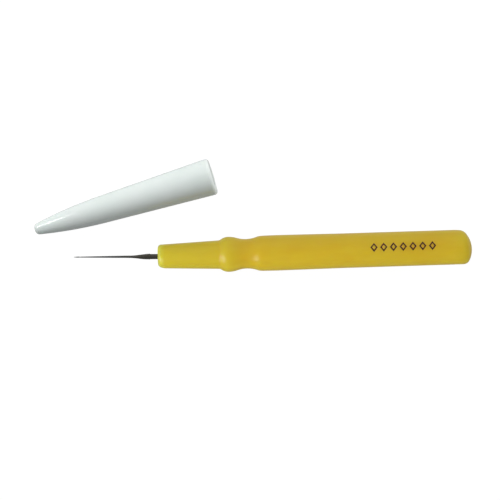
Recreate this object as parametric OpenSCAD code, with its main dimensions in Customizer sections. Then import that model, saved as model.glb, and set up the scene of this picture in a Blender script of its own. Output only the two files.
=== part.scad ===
// Fine-pointed watchmaker's hand tool with a push-on cap, in millimetres.
// The origin is the centre of the handle's flat front face. +X runs along the handle to its butt and +Z is up.
// The tool lies on a bench with its cap off, beside the point.

/* [Steel point] */
// Length of the steel that stands out of the handle
point_len = 21.15; // [16:0.05:28]
// Diameter of the shank where it leaves the handle
shank_d = 1.3; // [1:0.05:1.8]
// Length of plain shank in front of the handle
shank_len = 1.9; // [1:0.1:4]
// Diameter of the slight collar that the grinding leaves on the shank
collar_d = 1.5; // [1.3:0.05:2.2]
// Length of the ground flare between the collar and the needle
flare_len = 5; // [2:0.1:6]
// Diameter of the needle at the foot of the flare
needle_base_d = 0.64; // [0.4:0.02:0.8]
// Diameter of the needle just behind the flattened tip
needle_tip_d = 0.22; // [0.12:0.02:0.3]
// Length of the flattened tip
tip_len = 1.5; // [1:0.1:3]
// Width of the flattened tip
tip_w = 0.26; // [0.2:0.02:0.5]
// Thickness of the flattened tip
tip_t = 0.1; // [0.06:0.01:0.12]
// Length of the tang held in the handle
tang_len = 14; // [8:0.5:20]
// Angle by which the point leans off the handle's axis, in degrees
point_lean = 1.4; // [0:0.1:2]

/* [Handle] */
// Length of the handle from its front face to the top of its domed butt
handle_len = 78.45; // [70:0.05:95]
// Diameter that the neck's taper has at the front face
neck_front_d = 5.88; // [5:0.02:6.4]
// Growth of the neck's radius for each millimetre of its length
neck_slope = 0.041; // [0.02:0.001:0.06]
// Radius of the neck's front edge
neck_edge_r = 0.85; // [0.3:0.05:1.2]
// Distance from the front face to the top of the bulge
bulge_x = 17.65; // [16.5:0.05:18.5]
// Diameter of the bulge
bulge_d = 8.78; // [8.4:0.02:9.4]
// Distance from the front face to the thinnest place of the waist
waist_x = 22.1; // [21.5:0.05:23]
// Diameter of the waist
waist_d = 7.38; // [6.8:0.02:7.8]
// Diameter of the body where it rises out of the waist
body_front_d = 8.8; // [8.4:0.02:9.2]
// Distance from the front face to the widest place of the body
swell_x = 30; // [28:0.1:34]
// Diameter of the body at its widest place
swell_d = 8.88; // [8.8:0.02:9.6]
// Distance from the front face to where the straight round grip starts
grip_x = 46; // [40:0.5:56]
// Diameter of the straight round grip
grip_d = 8.66; // [8.2:0.02:9.2]
// Radius of the shallow dome that ends the butt
dome_r = 6.5; // [6:0.1:12]
// Radius of the edge between the grip and the dome
butt_edge_r = 1.8; // [0.5:0.1:2.5]

/* [Cap] */
// Length of the cap
cap_len = 46.65; // [44:0.05:48]
// Outer diameter that the cap's taper has at its mouth
cap_mouth_d = 9.36; // [9:0.02:10]
// Loss of outer radius for each millimetre from the mouth
cap_slope = 0.0427; // [0.038:0.0001:0.046]
// Distance from the mouth to where the cap's side starts to curve in
cap_curve_start = 29; // [28:0.5:32]
// Radius of the long curve from there to the tip
cap_curve_r = 112; // [110:1:180]
// Radius of the rounded tip
cap_tip_r = 1.15; // [0.5:0.05:1.2]
// Radius of the mouth's outer edge
cap_rim_r = 0.8; // [0.1:0.05:0.8]
// Radial gap between the seated cap and the neck
cap_gap = 0.02; // [0:0.01:0.1]
// Distance from the handle's front face to the seated cap's mouth
cap_seat_x = 15; // [13:0.1:15]
// Depth of the cap's bore to the top of its round end
bore_depth = 39; // [37.5:0.5:40]

/* [Where the cap lies] */
// Distance of the cap's mouth behind the handle's front face
cap_x = 14.35; // [0:0.05:30]
// Distance of the cap's mouth to the side of the handle's axis
cap_y = 19.66; // [18:0.02:60]
// Angle between the cap and the handle, seen from above, in degrees
cap_yaw = 14.9; // [0:0.1:16]

/* [Hidden] */
$fn = 96;
arc_steps = 10; // straight steps in each rounded stretch of an outline
bury = 1; // how far a cutting shape runs past the surface that it cuts
bore_lead = 0.15; // chamfer at the mouth of the cap's bore
tang_chamfer = 0.2;
relief_gap = 0.25; // clear ring that the mould leaves round the shank
relief_depth = 0.2;

// Points on an arc about c with radius r, from angle a0 to a1 in degrees
function arc(c, r, a0, a1, steps = arc_steps) =
    [for (i = [0:steps]) let (a = a0 + (a1 - a0) * i / steps) c + r * [cos(a), sin(a)]];

// The solid that an outline of [distance along X, radius] points makes when it turns about X
module lathe(outline) {
    rotate([0, 90, 0]) rotate_extrude() polygon([for (p = outline) [p[1], p[0]]]);
}

/* Handle: the outline's arcs run into each other without a corner, from the neck to the dome */

neck_angle = atan(neck_slope);
waist_r = waist_d / 2;
body_front_r = body_front_d / 2;
bulge_front_r = 3.2; // the bulge falls off faster towards the neck
bulge_back_r = 6.9; // than towards the waist
neck_fillet_r = 1.2;
shoulder_r = 5;

function neck_at(x) = neck_front_d / 2 + neck_slope * x;

// Front edge: its arc touches the front face and the neck's side
front_c = [neck_edge_r, neck_at(neck_edge_r) - neck_edge_r / cos(neck_angle)];

// Bulge: two arcs that share its top
bulge_front_c = [bulge_x, bulge_d / 2 - bulge_front_r];
bulge_back_c = [bulge_x, bulge_d / 2 - bulge_back_r];

// Fillet between the neck and the bulge: its centre is neck_fillet_r off the neck's side and the two radii
// from the bulge's centre, which gives a quadratic for how far it lies in front of the bulge
fillet_rise = neck_at(bulge_x) + neck_fillet_r / cos(neck_angle) - bulge_front_c[1];
fillet_reach = bulge_front_r + neck_fillet_r;
quad_a = 1 + neck_slope ^ 2;
quad_b = neck_slope * fillet_rise;
quad_c = fillet_rise ^ 2 - fillet_reach ^ 2;
fillet_dx = (quad_b + sqrt(quad_b ^ 2 - quad_a * quad_c)) / quad_a;
fillet_c = bulge_front_c + [-fillet_dx, fillet_rise - neck_slope * fillet_dx];
fillet_angle = atan2(fillet_c[1] - bulge_front_c[1], -fillet_dx);

// Waist: its arc touches the back of the bulge, so the centres are the two radii apart
waist_dx = waist_x - bulge_x;
waist_drop = bulge_d / 2 - waist_r;
waist_arc_r = (waist_dx ^ 2 + waist_drop ^ 2) / (2 * waist_drop) - bulge_back_r;
waist_c = [waist_x, waist_r + waist_arc_r];
waist_angle = acos(waist_dx / (bulge_back_r + waist_arc_r));

// Shoulder: its arc touches the waist's arc and ends level with the front of the body
shoulder_dy = waist_c[1] - body_front_r + shoulder_r;
shoulder_dx = sqrt((waist_arc_r + shoulder_r) ^ 2 - shoulder_dy ^ 2);
shoulder_c = [waist_x + shoulder_dx, body_front_r - shoulder_r];
shoulder_angle = atan2(shoulder_dy, -shoulder_dx);

// Butt: the edge's arc touches the grip and lies inside the dome's arc
dome_c = [handle_len - dome_r, 0];
edge_dy = grip_d / 2 - butt_edge_r;
edge_c = dome_c + [sqrt((dome_r - butt_edge_r) ^ 2 - edge_dy ^ 2), edge_dy];
edge_angle = atan2(edge_dy, edge_c[0] - dome_c[0]);

handle_outline = concat(
    [[0, 0]],
    arc(front_c, neck_edge_r, 180, 90 + neck_angle),
    arc(fillet_c, neck_fillet_r, 270 + neck_angle, 180 + fillet_angle),
    arc(bulge_front_c, bulge_front_r, fillet_angle, 90),
    arc(bulge_back_c, bulge_back_r, 90, waist_angle),
    arc(waist_c, waist_arc_r, 180 + waist_angle, 180 + shoulder_angle, 2 * arc_steps),
    arc(shoulder_c, shoulder_r, shoulder_angle, 90),
    [[swell_x, swell_d / 2], [grip_x, grip_d / 2]],
    arc(edge_c, butt_edge_r, 90, edge_angle),
    arc(dome_c, dome_r, edge_angle, 0)
);

// Children stand on the steel point's own axis, which leans to the side where the cap lies
module on_point_axis() {
    rotate([0, 0, -point_lean]) children();
}

module handle() {
    color("goldenrod") difference() {
        lathe(handle_outline);
        on_point_axis() rotate([0, 90, 0]) translate([0, 0, -bury])
            cylinder(d = shank_d, h = tang_len + bury);
        rotate([0, 90, 0]) translate([0, 0, -bury])
            cylinder(r = shank_d / 2 + relief_gap, h = relief_depth + bury);
    }
}

/* Steel point: a wire whose front is ground down to a needle and pressed flat at its tip */

collar_x = shank_len + (collar_d - shank_d); // the collar falls to the shank at about 30 degrees
flare_x = collar_x + flare_len;
needle_end = point_len - tip_len * 0.7; // the needle runs a little way into the flattened tip

// The flare swells from the needle to the collar along half a wave
function flare_d(u) = needle_base_d + (collar_d - needle_base_d) * (1 - cos(180 * u)) / 2;

point_outline = concat(
    [[-needle_end, 0], [-needle_end, tip_t / 2], [-point_len + tip_len, needle_tip_d / 2]],
    [for (i = [0:arc_steps]) [-flare_x + flare_len * i / arc_steps, flare_d(i / arc_steps) / 2]],
    [[-shank_len, shank_d / 2], [tang_len - tang_chamfer, shank_d / 2]],
    [[tang_len, shank_d / 2 - tang_chamfer], [tang_len, 0]]
);

// Half of the tip's leaf shape, whose other half is its mirror image
module tip_leaf() {
    polygon([for (i = [0:2 * arc_steps]) [-tip_len / 2 * cos(180 * i / 2 / arc_steps),
        tip_w / 2 * sin(180 * i / 2 / arc_steps)]]);
}

module steel_point() {
    color("dimgray") on_point_axis() {
        lathe(point_outline);
        translate([tip_len / 2 - point_len, 0, -tip_t / 2]) linear_extrude(tip_t) {
            tip_leaf();
            mirror([0, 1]) tip_leaf();
        }
    }
}

/* Cap: outlines run from the mouth at 0 towards the tip, and are turned round to point along -X */

cap_angle = atan(cap_slope);
function cap_side(t) = cap_mouth_d / 2 - cap_slope * t;

cap_rim_c = [cap_rim_r, cap_side(cap_rim_r) - cap_rim_r / cos(cap_angle)];
cap_curve_c = [cap_curve_start, cap_side(cap_curve_start)] - cap_curve_r * [sin(cap_angle), cos(cap_angle)];

// The tip's arc touches the end plane and lies inside the long curve
tip_dx = cap_len - cap_tip_r - cap_curve_c[0];
tip_c = cap_curve_c + [tip_dx, sqrt((cap_curve_r - cap_tip_r) ^ 2 - tip_dx ^ 2)];
tip_angle = atan2(tip_c[1] - cap_curve_c[1], tip_dx);

cap_outline = concat(
    [[0, 0]],
    arc(cap_rim_c, cap_rim_r, 180, 90 - cap_angle),
    arc(cap_curve_c, cap_curve_r, 90 - cap_angle, tip_angle),
    arc(tip_c, cap_tip_r, tip_angle, 0),
    [[cap_len, 0]]
);

// The bore has the neck's own taper, and a round end that its side runs into
bore_mouth_r = neck_at(cap_seat_x) + cap_gap;
function bore_side(t) = bore_mouth_r - neck_slope * t;
bore_end_r = cos(neck_angle) * bore_side(bore_depth) / (1 - neck_slope * cos(neck_angle));

bore_outline = concat(
    [[-bury, 0], [-bury, bore_mouth_r + bore_lead + bury], [bore_lead, bore_side(bore_lead)]],
    arc([bore_depth - bore_end_r, 0], bore_end_r, 90 - neck_angle, 0)
);

bench_z = -swell_d / 2;

// The cap rests on its side, so its axis rises towards the mouth by the angle of its taper
module cap() {
    color("white") translate([cap_x, cap_y, bench_z + cap_mouth_d / 2 * cos(cap_angle)])
        rotate([0, -cap_angle, cap_yaw]) mirror([1, 0, 0]) difference() {
            lathe(cap_outline);
            lathe(bore_outline);
        }
}

handle();
steel_point();
cap();
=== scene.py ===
"""Looks of a fine-pointed watchmaker's hand tool and its push-on cap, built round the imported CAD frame.

Lengths are in metres in the row frame: the origin is the centre of the handle's flat front face,
+X runs along the handle to its butt and +Z is up. The tool and the cap lie on a pale floor.
"""

import math

import bpy
import numpy as np
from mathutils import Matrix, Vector


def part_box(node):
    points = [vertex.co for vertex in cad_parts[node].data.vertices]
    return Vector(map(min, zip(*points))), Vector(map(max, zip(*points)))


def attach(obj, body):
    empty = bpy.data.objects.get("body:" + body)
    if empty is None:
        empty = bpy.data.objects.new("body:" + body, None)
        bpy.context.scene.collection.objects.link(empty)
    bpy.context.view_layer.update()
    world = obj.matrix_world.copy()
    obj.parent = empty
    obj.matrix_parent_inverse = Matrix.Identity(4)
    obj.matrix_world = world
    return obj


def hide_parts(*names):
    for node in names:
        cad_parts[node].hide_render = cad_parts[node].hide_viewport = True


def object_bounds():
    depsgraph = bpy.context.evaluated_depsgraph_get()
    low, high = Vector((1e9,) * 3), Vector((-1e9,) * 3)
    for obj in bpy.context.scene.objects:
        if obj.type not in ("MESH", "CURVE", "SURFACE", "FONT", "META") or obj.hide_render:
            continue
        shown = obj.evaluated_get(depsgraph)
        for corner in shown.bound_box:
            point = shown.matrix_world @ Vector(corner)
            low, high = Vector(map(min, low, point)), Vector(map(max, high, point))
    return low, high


MM = 0.001

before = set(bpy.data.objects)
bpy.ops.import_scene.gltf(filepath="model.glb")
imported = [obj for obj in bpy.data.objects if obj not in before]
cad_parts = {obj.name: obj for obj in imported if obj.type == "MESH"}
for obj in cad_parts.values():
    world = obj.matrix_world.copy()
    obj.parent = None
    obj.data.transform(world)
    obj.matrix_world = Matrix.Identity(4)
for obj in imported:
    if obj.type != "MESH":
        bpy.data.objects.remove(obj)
cad_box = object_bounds()

RING_GAP = 4e-6  # corners of one ring of the CAD mesh lie closer along the axis than this
WALL_FACING = 0.05  # a face looks outward or inward if its normal does by at least this much
NO_AREA = 1e-13  # a face this small is a sliver and faces nowhere
KNOT_SPACING = 0.4 * MM  # a longer flat of the CAD outline stays straight in its middle
TINY = 1e-9  # the least length that is divided by


# ---------------------------------------------------------------- outlines taken from the CAD frame


def node_faces(node):
    """Centres, normals, areas and corner lists of a CAD node's faces, and its vertices."""
    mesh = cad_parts[node].data
    count = len(mesh.polygons)
    centres, normals, areas = np.empty(3 * count), np.empty(3 * count), np.empty(count)
    mesh.polygons.foreach_get("center", centres)
    mesh.polygons.foreach_get("normal", normals)
    mesh.polygons.foreach_get("area", areas)
    vertices = np.empty(3 * len(mesh.vertices))
    mesh.vertices.foreach_get("co", vertices)
    corners = np.array([list(p.vertices) for p in mesh.polygons])
    return centres.reshape(-1, 3), normals.reshape(-1, 3), areas, corners, vertices.reshape(-1, 3)


def long_axis(node):
    """A point on a turned node's axis and the axis's direction, with X positive."""
    centres, _, areas, _, _ = node_faces(node)
    middle = (centres * areas[:, None]).sum(0) / areas.sum()
    spread = centres - middle
    along = np.linalg.eigh((spread * areas[:, None]).T @ spread)[1][:, -1]
    return middle, along * np.sign(along[0])


def wall(node, start, along, side=1):
    """Outline of a turned node's outer wall (side 1) or bore (side -1), up to its closed end.

    Its rows are [distance, radius], measured from start along the axis.
    """
    centres, normals, areas, corners, vertices = node_faces(node)

    def radial(points):
        rel = points - start
        return rel - np.outer(rel @ along, along)

    out = radial(centres)
    radius, radii = np.linalg.norm(out, axis=1), np.linalg.norm(radial(vertices), axis=1)
    facing = side * (out * normals).sum(1) / np.maximum(radius, TINY)
    keep = np.unique(corners[(facing > WALL_FACING) & (areas > NO_AREA)])
    t, r = (vertices[keep] - start) @ along, radii[keep]
    order = np.argsort(t)
    t, r = t[order], r[order]
    groups = np.split(np.arange(len(t)), np.nonzero(np.diff(t) > RING_GAP)[0] + 1)
    rows = [[t[g].mean(), r[g].mean()] for g in groups]
    if side > 0:
        end = ((vertices - start) @ along).max()
    else:
        # the bore's round end is carried on to the axis through its last two rings
        (t1, r1), (t2, r2) = rows[-2:]
        end = t2 + (t2 - t1) * r2**2 / (r1**2 - r2**2)
    return np.array(rows + [[end, 0.0]])


def smooth_outline(points, spacing):
    """The outline with its flats eased into a smooth curve, sampled about spacing(distance) apart."""
    dense = [points[0]]
    for a, b in zip(points[:-1], points[1:]):
        pieces = max(1, math.ceil(np.linalg.norm(b - a) / KNOT_SPACING))
        dense += [a + (b - a) * k / pieces for k in range(1, pieces + 1)]
    dense = np.array(dense)
    steps = np.linalg.norm(np.diff(dense, axis=0), axis=1)
    s = np.concatenate([[0], np.cumsum(steps)])
    slope = np.diff(dense, axis=0) / steps[:, None]
    both = (steps[:-1] + steps[1:])[:, None]
    inner = (slope[:-1] * steps[1:, None] + slope[1:] * steps[:-1, None]) / both
    tangent = np.vstack([slope[:1], inner, slope[-1:]])
    at, samples = 0.0, [0.0]
    while at < s[-1]:
        at += spacing(np.interp(at, s, dense[:, 0]))
        samples.append(min(at, s[-1]))
    samples = np.array(samples)
    k = np.clip(np.searchsorted(s, samples, side="right") - 1, 0, len(steps) - 1)
    u = ((samples - s[k]) / steps[k])[:, None]
    h = steps[k][:, None]
    return (
        (1 + 2 * u) * (1 - u) ** 2 * dense[k]
        + u * (1 - u) ** 2 * h * tangent[k]
        + u**2 * (3 - 2 * u) * dense[k + 1]
        + u**2 * (u - 1) * h * tangent[k + 1]
    )


def smoothstep(x):
    """0 below 0, 1 above 1 and an even rise between them."""
    x = np.clip(x, 0, 1)
    return x * x * (3 - 2 * x)


# ---------------------------------------------------------------- meshes

SHARP_EDGE = math.radians(40)


def side_and_up(along):
    """Two directions square to an axis: to the side, and as near to straight up as there is."""
    up = np.array([0.0, 0.0, 1.0])
    up -= (up @ along) * along
    up /= np.linalg.norm(up)
    return np.cross(along, up), up


def turned_points(outline, start, along, angles):
    """The surface that an outline of [distance, radius] rows makes about an axis, ring by ring."""
    side, up = side_and_up(along)
    spokes = np.outer(np.sin(angles), side) + np.outer(np.cos(angles), up)
    return start + outline[:, 0, None, None] * along + outline[:, 1, None, None] * spokes[None]


def mesh_object(name, vertices, faces):
    """A smooth-shaded object in which only edges over SHARP_EDGE look sharp."""
    mesh = bpy.data.meshes.new(name)
    mesh.from_pydata(vertices.tolist() if hasattr(vertices, "tolist") else vertices, [], faces)
    mesh.validate()
    mesh.shade_smooth()
    mesh.set_sharp_from_angle(angle=SHARP_EDGE)
    obj = bpy.data.objects.new(name, mesh)
    bpy.context.scene.collection.objects.link(obj)
    return obj


def skin(name, rings):
    """A closed surface through rings of points; the first and last ring shrink to their middle points."""
    count, around = rings.shape[:2]
    body = rings[1:-1].reshape(-1, 3)
    first, last = rings[0].mean(0), rings[-1].mean(0)
    vertices = np.vstack([body, first, last])
    rows = count - 2
    faces = []
    for i in range(rows - 1):
        a, b = i * around, (i + 1) * around
        faces += [(a + j, a + (j + 1) % around, b + (j + 1) % around, b + j) for j in range(around)]
    top, end = rows * around, (rows - 1) * around
    faces += [(top, (j + 1) % around, j) for j in range(around)]
    faces += [(top + 1, end + j, end + (j + 1) % around) for j in range(around)]
    return mesh_object(name, vertices, faces)


# ---------------------------------------------------------------- handle

RELIEF_R = 0.9 * MM  # the clear ring round the shank in the handle's front face
RELIEF_DEPTH = 0.2 * MM
RELIEF_EDGE = 0.05 * MM  # rounding of the ring's edges

GRIP_PLACE = 60 * MM  # somewhere on the straight round grip
FRONT_EDGE_END = 1.5 * MM  # finer rings up to here, round the front edge
BUTT_START = 74 * MM  # and finer rings from here on, round the butt

MARK_COUNT = 7
MARK_PITCH = 2.42 * MM
MARK_FIRST = 53.8 * MM  # distance of the first mark's middle from the front face
MARK_SIDE = 0.6 * MM  # the row sits a little to the side of the top
MARK_HALF_LENGTH = 0.95 * MM
MARK_HALF_WIDTH = 1.22 * MM
MARK_STROKE = 0.42 * MM
MARK_DEPTH = 0.06 * MM
MARK_SLOPE = 0.12 * MM  # width of the slope from the grip down to a mark's floor
MARK_MARGIN = 0.3 * MM  # the fine rings reach this far past the row
FOIL_LIFT = 0.012 * MM  # the foil's top over the floor that it lies on
FOIL_THICKNESS = 0.03 * MM
FOIL_INSET = 0.015  # gap between the foil and its stroke's edge, as a share of the lozenge


def grip_radius():
    """Radius of the straight round grip under the marks."""
    outline = wall("handle", np.zeros(3), np.array([1.0, 0, 0]))
    return float(np.interp(GRIP_PLACE, outline[:, 0], outline[:, 1]))


GRIP_R = grip_radius()


def mark_stroke(along, across):
    """How far inside a lozenge's stroke a point of the mark's own plane lies; below 0 outside it."""
    slant = MARK_HALF_LENGTH * MARK_HALF_WIDTH / math.hypot(MARK_HALF_LENGTH, MARK_HALF_WIDTH)
    inside = (1 - np.abs(along) / MARK_HALF_LENGTH - np.abs(across) / MARK_HALF_WIDTH) * slant
    return np.minimum(inside, MARK_STROKE - inside)


def press_marks(rings, outline, angles):
    """Sinks the row of lozenges into the grip's surface."""
    arc = GRIP_R * (angles - math.asin(MARK_SIDE / GRIP_R))
    arc = (arc + math.pi * GRIP_R) % (2 * math.pi * GRIP_R) - math.pi * GRIP_R
    depth = np.zeros((len(outline), len(angles)))
    for k in range(MARK_COUNT):
        along = outline[:, 0] - MARK_FIRST - k * MARK_PITCH
        stroke = mark_stroke(along[:, None], arc[None])
        depth = np.maximum(depth, MARK_DEPTH * smoothstep(0.5 + stroke / MARK_SLOPE))
    inward = -rings.copy()
    inward[:, :, 0] = 0
    length = np.maximum(np.linalg.norm(inward, axis=2, keepdims=True), TINY)
    return rings + inward / length * depth[:, :, None]


def skew_ends(rings):
    """The butt's dome is cut a little askew and rounder on +Y, and the front edge is rounder on -Y."""
    x, y = rings[:, :, 0], rings[:, :, 1]
    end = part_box("handle")[1].x
    slant, cut_back, narrowing = 0.09, 0.02 * MM, 0.045
    near = smoothstep((x - (end - 5 * MM)) / (3.5 * MM))
    rounder = smoothstep((x - (end - 4.5 * MM)) / (4 * MM)) * smoothstep(y / (4 * MM))
    rings[:, :, 0] = np.minimum(x - near * (slant * y + cut_back), end)
    rings[:, :, 1] = y * (1 - narrowing * rounder)
    # the front edge is pulled in, more so away from the shank
    edge_length, edge_pull = 1.8 * MM, 0.1
    front = smoothstep((edge_length - x) / edge_length) * smoothstep((1.2 * MM - y) / (3 * MM))
    radius = np.hypot(rings[:, :, 1], rings[:, :, 2])
    pull = 1 - edge_pull * front * smoothstep((radius - 1.5 * MM) / (1.2 * MM))
    rings[:, :, 1:] *= pull[:, :, None]
    return rings


def handle_spacing(x):
    """How far apart the handle's rings are at x: close along the marks and the two ends."""
    marks_start = MARK_FIRST - MARK_HALF_LENGTH
    marks_end = MARK_FIRST + (MARK_COUNT - 1) * MARK_PITCH + MARK_HALF_LENGTH
    if marks_start - MARK_MARGIN < x < marks_end + MARK_MARGIN:
        return 0.085 * MM
    return 0.1 * MM if x < FRONT_EDGE_END or x > BUTT_START else 0.25 * MM


def around_angles(fine_from, fine_to, fine, coarse):
    """Angles round the axis, close together between the two fine limits, all in degrees."""
    near = np.linspace(fine_from, fine_to, round((fine_to - fine_from) / fine), endpoint=False)
    far = np.linspace(fine_to, fine_from + 360, round((360 - fine_to + fine_from) / coarse), endpoint=False)
    return np.radians(np.concatenate([near, far]))


def make_handle():
    start, along = np.zeros(3), np.array([1.0, 0, 0])
    side = smooth_outline(wall("handle", start, along), handle_spacing)
    # the floor and the wall of the clear ring, then the flat front face
    lip = RELIEF_EDGE
    front = [[RELIEF_DEPTH, 0], [RELIEF_DEPTH, RELIEF_R * 0.8], [RELIEF_DEPTH, RELIEF_R - lip]]
    front += [[RELIEF_DEPTH - lip, RELIEF_R], [lip, RELIEF_R], [0.3 * lip, RELIEF_R + 0.3 * lip]]
    front += [[0, r] for r in np.linspace(RELIEF_R + lip, side[0, 1], 8)[:-1]]
    outline = np.vstack([front, side])
    # angles run from straight up towards -Y, and the marks lie mostly on the other side of the top
    marks_from, marks_to, fine, coarse = -28, 12, 1, 3
    angles = around_angles(marks_from, marks_to, fine, coarse)
    rings = turned_points(outline, start, along, angles)
    rings = press_marks(rings, outline, -angles)
    return skin("handle_moulding", skew_ends(rings))


def make_marks():
    """Foil on the floor of the pressed lozenges: a thin closed band round each of them."""
    top = GRIP_R - MARK_DEPTH + FOIL_LIFT
    under = top - FOIL_THICKNESS
    outer = 1 - FOIL_INSET
    inner = 1 + FOIL_INSET - MARK_STROKE * math.hypot(1 / MARK_HALF_LENGTH, 1 / MARK_HALF_WIDTH)
    section = [(outer, top), ((outer + inner) / 2, top), (inner, top), (inner, under), (outer, under)]
    corners = [(1, 0), (0, 1), (-1, 0), (0, -1), (1, 0)]
    per_side = 12
    n = 4 * per_side
    middle = math.asin(MARK_SIDE / GRIP_R)
    vertices, faces = [], []
    for k in range(MARK_COUNT):
        base = len(vertices)
        for scale, radius in section:
            for i in range(n):
                quarter, step = divmod(i, per_side)
                u = step / per_side
                a, b = corners[quarter], corners[quarter + 1]
                along, across = (scale * ((1 - u) * a[c] + u * b[c]) for c in (0, 1))
                angle = middle + across * MARK_HALF_WIDTH / GRIP_R
                x = MARK_FIRST + k * MARK_PITCH + along * MARK_HALF_LENGTH
                vertices.append((x, radius * math.sin(angle), radius * math.cos(angle)))
        for j in range(len(section)):
            a, b = base + j * n, base + (j + 1) % len(section) * n
            faces += [(a + i, a + (i + 1) % n, b + (i + 1) % n, b + i) for i in range(n)]
    return mesh_object("handle_marks", vertices, faces)


# ---------------------------------------------------------------- steel point

BURIED = 1 * MM  # how deep the visible wire goes on into the handle
TIP_LENGTH = 1.55 * MM
TIP_HALF_WIDTH = 0.13 * MM
TIP_HALF_THICKNESS = 0.05 * MM
TIP_RINGS = 30
FLARE_FROM, FLARE_TO = 1.9 * MM, 6.3 * MM  # the ground stretch, measured from the front face
FLATS = 5
GRINDING = 0.55  # how far the grinding goes from round (0) to flat (1)
WIRE_SPACING = 0.07 * MM
WIRE_AROUND = 48
THINNEST = 1e-6  # the least half width and half thickness of the tip's rings


def make_point():
    """The wire: round shank, low collar, a flare ground in flats, a needle and a flat dart-shaped tip."""
    middle, along = long_axis("steel_point")
    along = -along
    start = middle + along * (-middle[0] / along[0])
    cad = wall("steel_point", start, along)
    tip = max((v - start) @ along for v in node_faces("steel_point")[4])
    foot = [[-BURIED, np.interp(-BURIED, cad[:, 0], cad[:, 1])]]
    wire = cad[(cad[:, 0] > -BURIED) & (cad[:, 0] < tip - TIP_LENGTH)]
    side = smooth_outline(np.vstack([foot, wire]), lambda t: WIRE_SPACING)
    needle_end, needle_r = side[-1]
    angles = np.linspace(0, 2 * math.pi, WIRE_AROUND, endpoint=False)
    right, up = side_and_up(along)
    rings = [np.repeat((start + side[0, 0] * along)[None], len(angles), 0)]
    for t, r in side:
        ground = smoothstep((t - FLARE_FROM) / (0.5 * MM)) * (1 - smoothstep((t - FLARE_TO) / (6 * MM)))
        # the flats wander a little round the wire
        phase = (angles + 0.5 + 0.25 * math.sin(t / (1.1 * MM))) * FLATS / (2 * math.pi)
        off = (phase - np.floor(phase) - 0.5) * 2 * math.pi / FLATS
        flat = math.cos(math.pi / FLATS) / np.cos(off)
        radius = r * (1 - ground * GRINDING * (1 - flat))
        centre = start + t * along
        spokes = np.outer(np.sin(angles), right) + np.outer(np.cos(angles), up)
        rings.append(centre + radius[:, None] * spokes)
    neck_end = 0.12
    for u in np.linspace(0.02, 1, TIP_RINGS):
        # the needle necks in, then the dart swells quickly and tapers to a point
        t = needle_end + u * (tip - needle_end)
        neck = needle_r * (1 - 0.15 * smoothstep(u / neck_end))
        swell = smoothstep((u - neck_end) / 0.25)
        taper = np.clip((1 - u) / 0.5, 0, 1) ** 0.6
        width = neck + (TIP_HALF_WIDTH * taper - neck) * swell
        flattened = TIP_HALF_THICKNESS * min(1, 2.5 * (1 - u) + 0.05)
        thick = neck + (flattened - neck) * smoothstep(u / 0.3)
        centre = start + t * along
        rings.append(
            centre
            + np.outer(np.sin(angles) * max(width, THINNEST), right)
            + np.outer(np.cos(angles) * max(thick, THINNEST), up)
        )
    return skin("steel_point_ground", np.array(rings))


# ---------------------------------------------------------------- cap

CAP_EDGE = 1.5 * MM  # finer rings up to here, round the mouth's edge
MOULD_LINE_PLACE = 1.05 * MM  # distance from the mouth of the line where the mould's parts met
MOULD_LINE_WIDTH = 0.12 * MM
MOULD_LINE_DEPTH = 0.035 * MM
CAP_AROUND = 160


def make_cap():
    """The hollow tapered tube with a closed tip, and a shallow line round it near the mouth."""
    middle, along = long_axis("cap")
    vertices = node_faces("cap")[4]
    mouth = ((vertices - middle) @ along).max()
    start, along = middle + mouth * along, -along
    outer = wall("cap", start, along)
    bore = wall("cap", start, along, -1)
    dome, bore_dome = outer[-1, 0] - 2.5 * MM, bore[-1, 0] - 3 * MM
    side = smooth_outline(outer, lambda t: 0.07 * MM if t < CAP_EDGE or t > dome else 0.3 * MM)
    from_line = (side[:, 0] - MOULD_LINE_PLACE) / MOULD_LINE_WIDTH
    side[:, 1] -= MOULD_LINE_DEPTH * np.exp(-(from_line**2))
    inside = smooth_outline(bore, lambda t: 0.12 * MM if t < CAP_EDGE or t > bore_dome else 0.5 * MM)
    outline = np.vstack([inside[::-1], side])
    angles = np.linspace(0, 2 * math.pi, CAP_AROUND, endpoint=False)
    rings = turned_points(outline, start, along, angles)
    return skin("cap_moulding", rings)


# ---------------------------------------------------------------- materials


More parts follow.
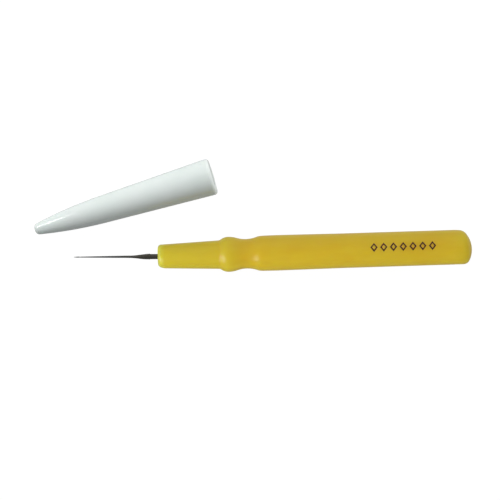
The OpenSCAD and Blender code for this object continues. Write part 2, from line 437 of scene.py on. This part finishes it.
class Nodes:
    """Short hand for building a node material."""

    def __init__(self, name):
        self.material = bpy.data.materials.new(name)
        self.material.use_nodes = True
        self.tree = self.material.node_tree
        self.shader = next(n for n in self.tree.nodes if n.type == "BSDF_PRINCIPLED")
        self.place = self.add("ShaderNodeTexCoord").outputs["Object"]

    def add(self, kind, inputs=None, **settings):
        node = self.tree.nodes.new(kind)
        for key, value in settings.items():
            setattr(node, key, value)
        for key, value in (inputs or {}).items():
            self.put(node.inputs[key], value)
        return node

    def put(self, socket, value):
        if isinstance(value, bpy.types.NodeSocket):
            self.tree.links.new(value, socket)
        else:
            socket.default_value = value

    def stretched(self, scale, turn=(0, 0, 0)):
        """The place on the object, scaled to make a grain in one direction."""
        mapping = self.add("ShaderNodeMapping", {"Vector": self.place, "Scale": scale, "Rotation": turn})
        return mapping.outputs["Vector"]

    def noise(self, vector, scale, detail=2.0, roughness=0.5):
        inputs = {"Vector": vector, "Scale": scale, "Detail": detail, "Roughness": roughness}
        return self.add("ShaderNodeTexNoise", inputs).outputs["Fac"]

    def ramp(self, value, low, high, out_low=0.0, out_high=1.0):
        """Brings value from the range low to high into out_low to out_high, and keeps it there."""
        inputs = {"Value": value, "From Min": low, "From Max": high, "To Min": out_low, "To Max": out_high}
        return self.add("ShaderNodeMapRange", inputs).outputs["Result"]

    def blend(self, factor, a, b):
        node = self.add("ShaderNodeMix", data_type="RGBA")
        self.put(node.inputs["Factor"], factor)
        self.put(node.inputs["A"], a)
        self.put(node.inputs["B"], b)
        return node.outputs["Result"]

    def x(self):
        return self.add("ShaderNodeSeparateXYZ", {"Vector": self.place}).outputs["X"]

    def bump(self, height, distance, strength=1.0, normal=None):
        node = self.add("ShaderNodeBump", {"Height": height, "Distance": distance, "Strength": strength})
        if normal is not None:
            self.put(node.inputs["Normal"], normal)
        return node.outputs["Normal"]

    def set(self, **values):
        for key, value in values.items():
            self.put(self.shader.inputs[key.replace("_", " ")], value)


def colour(r, g, b):
    """Linear colour from the 0 to 255 values that a screen shows."""
    shown = (r / 255, g / 255, b / 255)
    linear = [c / 12.92 if c <= 0.04045 else ((c + 0.055) / 1.055) ** 2.4 for c in shown]
    return (*linear, 1.0)


def handle_plastic():
    """Amber-yellow cellulose plastic: cloudy, faintly streaked along its length, with a moulded gloss."""
    n = Nodes("amber_plastic")
    streaks = n.noise(n.stretched((60, 420, 420)), 1.0, 4, 0.55)
    cloud = n.noise(n.place, 130, 2)
    tone = n.blend(n.ramp(streaks, 0.3, 0.7), colour(228, 194, 40), colour(233, 202, 48))
    tone = n.blend(n.ramp(cloud, 0.35, 0.7, 0, 0.5), tone, colour(224, 188, 36))
    # the slim neck is a little greener as far as the bulge, and its front edge is painted paler, a painted
    # glow of light shining through the thin plastic there
    neck_from, neck_to = 17 * MM, 21 * MM
    neck = n.ramp(n.x(), neck_from, neck_to, 0.6, 0)
    tone = n.blend(neck, tone, colour(223, 202, 56))
    # painted glow: the front edge is painted a paler lemon, as if lit through the thin plastic
    edge_from, edge_to = 0.2 * MM, 1.8 * MM
    edge = n.ramp(n.x(), edge_from, edge_to, 0.7, 0)
    tone = n.blend(edge, tone, colour(232, 224, 96))
    n.set(Base_Color=tone, Roughness=n.ramp(n.noise(n.place, 900, 2), 0.2, 0.8, 0.29, 0.34))
    peel = n.bump(n.noise(n.place, 420, 2), 0.01 * MM, 0.3)
    scratches = n.noise(n.stretched((180, 3200, 3200)), 1.0, 3, 0.6)
    n.set(Normal=n.bump(scratches, 0.006 * MM, 0.5, peel))
    n.set(IOR=1.47, Subsurface_Weight=1.0, Subsurface_Radius=(1.0, 0.8, 0.25), Subsurface_Scale=12 * MM)
    return n.material


def foil():
    """Dark red-brown stamping foil, a little worn."""
    n = Nodes("stamped_foil")
    wear = n.ramp(n.noise(n.place, 2600, 3, 0.6), 0.52, 0.72)
    n.set(Base_Color=n.blend(wear, colour(62, 24, 20), colour(98, 52, 30)))
    n.set(Roughness=n.ramp(wear, 0, 1, 0.38, 0.55))
    n.set(Normal=n.bump(n.noise(n.place, 4000, 2), 0.01 * MM, 0.4))
    return n.material


def ground_steel():
    """Ground wire: heat-stained at the handle, with fine rings. Its grey is painted darker than bare steel
    and darker still towards the tip, a painted dark reflection, so it is brightest in its middle.
    """
    n = Nodes("ground_steel")
    stain_from, stain_to = -12 * MM, -4 * MM
    stain = n.ramp(n.x(), stain_from, stain_to)
    patches = n.ramp(n.noise(n.place, 900, 3), 0.35, 0.65, -0.15, 0.15)
    amount = n.add("ShaderNodeMath", operation="ADD", use_clamp=True)
    n.put(amount.inputs[0], stain)
    n.put(amount.inputs[1], patches)
    # the grey is painted dark, a painted dark reflection; the brown near the handle is heat stain
    tone = n.blend(amount.outputs[0], colour(122, 124, 123), colour(100, 96, 87))
    # painted dark reflection: the needle is painted darker towards its tip
    dark_from, dark_to = -19 * MM, -11 * MM
    dark = n.ramp(n.x(), dark_from, dark_to, 0.85, 0)
    n.set(Base_Color=n.blend(dark, tone, colour(66, 69, 70)))
    polish = n.noise(n.stretched((5200, 500, 500)), 1.0, 3)
    n.set(Metallic=1.0, Roughness=n.ramp(polish, 0.3, 0.7, 0.16, 0.32))
    rings = n.noise(n.stretched((9000, 300, 300)), 1.0, 3, 0.6)
    n.set(Normal=n.bump(rings, 0.012 * MM, 0.5))
    return n.material


def cap_plastic():
    """White polythene: glossy, slightly uneven, faintly green in its depth."""
    n = Nodes("white_polythene")
    cloud = n.noise(n.place, 90, 3)
    n.set(Base_Color=n.blend(n.ramp(cloud, 0.3, 0.7), colour(229, 237, 233), colour(235, 241, 238)))
    n.set(Roughness=n.ramp(n.noise(n.place, 500, 3), 0.3, 0.7, 0.13, 0.2))
    waves = n.bump(n.noise(n.stretched((150, 420, 420)), 1.0, 2), 0.03 * MM, 0.3)
    along_cap = math.radians(-14.9)  # turns the grain to run along the cap, which lies askew to X
    scuffs = n.noise(n.stretched((350, 2800, 2800), (0, 0, along_cap)), 1.0, 3, 0.6)
    n.set(Normal=n.bump(scuffs, 0.006 * MM, 0.5, waves))
    n.set(IOR=1.51, Subsurface_Weight=0.8, Subsurface_Radius=(1.0, 1.0, 0.95), Subsurface_Scale=1.2 * MM)
    return n.material


def floor_screen():
    """Opal white screen lit evenly from below, as under a shadowless product shot."""
    n = Nodes("white_screen")
    n.set(Base_Color=n.blend(n.noise(n.place, 40, 3), colour(64, 64, 64), colour(70, 70, 70)))
    n.set(Roughness=0.9, Specular_IOR_Level=0.1, Emission_Color=(1, 1, 1, 1), Emission_Strength=0.985)
    n.set(Normal=n.bump(n.noise(n.place, 2500, 2), 0.01 * MM, 0.2))
    return n.material


# ---------------------------------------------------------------- stage, lights and camera


def make_floor():
    """A wide flat floor that curves up into a low wall, so that no horizon shows from the side.

    It lights nothing and isn't seen in the gloss, as if the tool had been cut out on white.
    """
    lowest, flat, bend, top = cad_box[0][2], 2.2, 0.8, 1.6
    turns = [math.radians(degrees) for degrees in range(0, 91, 6)]
    curve = [(flat + bend * math.sin(turn), bend * (1 - math.cos(turn))) for turn in turns]
    outline = np.array([(0.0, 0.0), (0.5 * flat, 0.0)] + curve + [(flat + bend, top)])
    outline[:, 1] += lowest
    around = 48
    vertices, faces = [(0.0, 0.0, lowest)], []
    for radius, height in outline[1:]:
        for angle in np.linspace(0, 2 * math.pi, around, endpoint=False):
            vertices.append((radius * math.cos(angle), radius * math.sin(angle), height))
    faces = [(0, 1 + j, 1 + (j + 1) % around) for j in range(around)]
    for i in range(len(outline) - 2):
        a, b = 1 + i * around, 1 + (i + 1) * around
        faces += [(a + j, b + j, b + (j + 1) % around, a + (j + 1) % around) for j in range(around)]
    floor = mesh_object("floor", vertices, faces)
    floor.data.materials.append(floor_screen())
    floor.visible_diffuse = floor.visible_glossy = floor.visible_shadow = False


LIT_MIDDLE = Vector((0.023, 0.005, 0))  # every soft box faces the middle of the tool
LIGHT_DISTANCE = 0.6


def soft_light(name, direction, width, height, power, tint=(1, 1, 1)):
    """A soft box that faces the middle of the tool, in the given direction from it."""
    data = bpy.data.lights.new(name, "AREA")
    data.shape, data.size, data.size_y = "RECTANGLE", width, height
    data.energy, data.color = power, tint
    light = bpy.data.objects.new(name, data)
    light.location = LIT_MIDDLE + LIGHT_DISTANCE * Vector(direction).normalized()
    light.rotation_euler = (LIT_MIDDLE - light.location).to_track_quat("-Z", "Y").to_euler()
    bpy.context.scene.collection.objects.link(light)
    return light


def link_light(light, obj, state):
    """The light falls on everything but obj (EXCLUDE), or on obj alone (INCLUDE)."""
    group = bpy.data.collections.new(light.name + "_on")
    group.objects.link(obj)
    group.collection_objects[0].light_linking.link_state = state
    light.light_linking.receiver_collection = group


def make_lights(handle):
    """Soft boxes at the point's end, broad light from the sides and into the cap's mouth, a pale surround.

    The handle carries light through itself, so both its flanks are equally bright. The lights that only it
    receives stand in for that, and the other three fall on everything but the handle. Of the six, the two key
    lights are seen in the gloss.
    """
    key = soft_light("key", (-0.66, 0.42, 0.6), 0.12, 0.12, 0.85)
    side = soft_light("side", (-0.4, 0.68, 0.62), 0.35, 0.35, 1.38, (0.985, 1.0, 0.99))
    grip_key = soft_light("grip_key", (-0.68, -0.4, 0.52), 0.45, 0.3, 2.0)
    left = soft_light("grip_left", (0.35, 0.85, 0.42), 0.35, 0.35, 0.46)
    right = soft_light("grip_right", (0.35, -0.85, 0.42), 0.35, 0.35, 0.34)
    mouth = soft_light("cap_mouth", (0.96, 0.27, 0.05), 0.25, 0.25, 2.0)
    for light in (key, side, mouth):
        link_light(light, handle, "EXCLUDE")
    for light in (grip_key, left, right):
        link_light(light, handle, "INCLUDE")
    for light in (side, mouth, left, right):
        light.visible_glossy = False
    make_surround()


def make_surround():
    """A pale surround, brightest straight out on the cap's side."""
    world = bpy.data.worlds.new("studio")
    world.use_nodes = True
    tree = world.node_tree
    background = tree.nodes["Background"]
    background.inputs["Color"].default_value = (0.97, 0.99, 1.0, 1)
    direction = tree.nodes.new("ShaderNodeTexCoord").outputs["Generated"]
    parts = tree.nodes.new("ShaderNodeSeparateXYZ")
    tree.links.new(direction, parts.inputs["Vector"])
    strength = tree.nodes.new("ShaderNodeMapRange")
    tree.links.new(parts.outputs["Y"], strength.inputs["Value"])
    for name, value in (("From Min", -0.2), ("From Max", 1.0), ("To Min", 0.3), ("To Max", 0.58)):
        strength.inputs[name].default_value = value
    tree.links.new(strength.outputs["Result"], background.inputs["Strength"])
    bpy.context.scene.world = world


def make_camera():
    """Straight above the tool, with a long lens, turned so that the handle rises a little to the right."""
    low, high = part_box("handle")
    length = high.x - low.x
    along, aside = 0.2937, 0.0116  # the camera's place, as shares of the handle's length
    turn = math.radians(-1.81)
    room = 1.144  # width of the view over the width of the whole part
    width = room * (cad_box[1][0] - cad_box[0][0])
    data = bpy.data.cameras.new("camera")
    data.lens, data.sensor_width = 150, 36
    data.clip_start, data.clip_end = 0.01, 10
    camera = bpy.data.objects.new("camera", data)
    camera.location = (low.x + along * length, aside * length, width * data.lens / data.sensor_width)
    camera.rotation_euler = (0, 0, turn)
    bpy.context.scene.collection.objects.link(camera)
    bpy.context.scene.camera = camera
    bpy.context.scene.view_settings.view_transform = "Standard"


# ---------------------------------------------------------------- putting it together


def place(obj, material, body, slot=None, *nodes):
    """Gives a piece its material and its body and, if it stands for CAD nodes, hides them."""
    obj.data.materials.append(material)
    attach(obj, body)
    if nodes:
        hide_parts(*nodes)


handle = make_handle()
place(handle, handle_plastic(), "tool", "handle_plastic", "handle")
place(make_marks(), foil(), "tool")
place(make_point(), ground_steel(), "tool", "point_steel", "steel_point")
place(make_cap(), cap_plastic(), "cap", "cap_plastic", "cap")
make_floor()
make_lights(handle)
make_camera()
